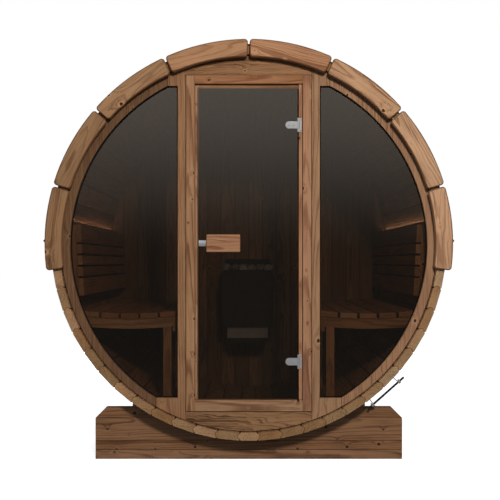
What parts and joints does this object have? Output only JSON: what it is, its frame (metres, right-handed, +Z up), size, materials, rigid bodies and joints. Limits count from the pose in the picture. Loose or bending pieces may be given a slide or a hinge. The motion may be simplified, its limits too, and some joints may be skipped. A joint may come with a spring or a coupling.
{
  "type": "barrel sauna",
  "caption": "Horizontal wooden barrel sauna on two cradles, with a glazed end wall, a hinged glass door, curved benches, backrests and a wall-hung heater inside.",
  "frame": {"origin": "on the ground, below the middle of the barrel", "axes": "+X to the right seen from the front, +Y into the barrel from the front wall, +Z up"},
  "size_m": [2.0822, 1.8, 2.1473],
  "materials": {
    "stave_wood": "oiled, brown, bead and cove staves",
    "wall_wood": "oiled, brown, planed",
    "fascia_wood": "oiled, reddish brown, eased edges",
    "frame_wood": "oiled, warm brown, planed",
    "cradle_wood": "oiled, dark brown, glued layers",
    "bench_wood": "heat-treated, planed",
    "roof_felt": "black mineral roofing felt",
    "black_sheet": "matt black bent sheet",
    "smoked_glass": "bronze-tinted tempered glass",
    "steel": "satin stainless steel",
    "heater_metal": "dark heat-resistant enamel",
    "heater_bright": "plain reflector sheet",
    "stones": "rough grey igneous stones"
  },
  "bodies": {
    "root": {"staves_floor": "stave_wood", "staves_lower_left": "stave_wood", "staves_lower_right": "stave_wood", "staves_upper_left": "stave_wood", "staves_upper_right": "stave_wood", "staves_crown": "stave_wood", "roof_cover": "roof_felt", "drip_edge_left": "black_sheet", "drip_edge_right": "black_sheet", "front_fascia": "fascia_wood", "back_fascia": "fascia_wood", "wall_header": "wall_wood", "wall_base": "wall_wood", "wall_post_left": "wall_wood", "wall_post_right": "wall_wood", "wall_rim_left": "wall_wood", "wall_rim_right": "wall_wood", "back_wall_left": "wall_wood", "back_wall_middle": "wall_wood", "back_wall_right": "wall_wood", "side_glass_left": "smoked_glass", "side_glass_right": "smoked_glass", "door_frame": "frame_wood", "door_stops": "frame_wood", "hinge_plates": "steel", "band_front": "steel", "band_back": "steel", "cradle_front": "cradle_wood", "cradle_back": "cradle_wood", "bench_seat_left": "bench_wood", "bench_seat_right": "bench_wood", "bench_frame_left": "bench_wood", "bench_frame_right": "bench_wood", "backrest_left": "bench_wood", "backrest_right": "bench_wood", "heater_casing": "heater_metal", "heater_stones": "stones", "heater_panel": "heater_bright"},
    "door": {"door_glass": "smoked_glass", "hinge_top": "steel", "hinge_bottom": "steel", "door_handle": "frame_wood", "door_latch": "steel"}
  },
  "joints": [
    {"name": "door_swing", "type": "hinge", "parent": "root", "child": "door", "pos_m": [0.252, -0.843, 1.119], "axis": [0, 0, 1], "range_deg": [0, 100]}
  ]
}
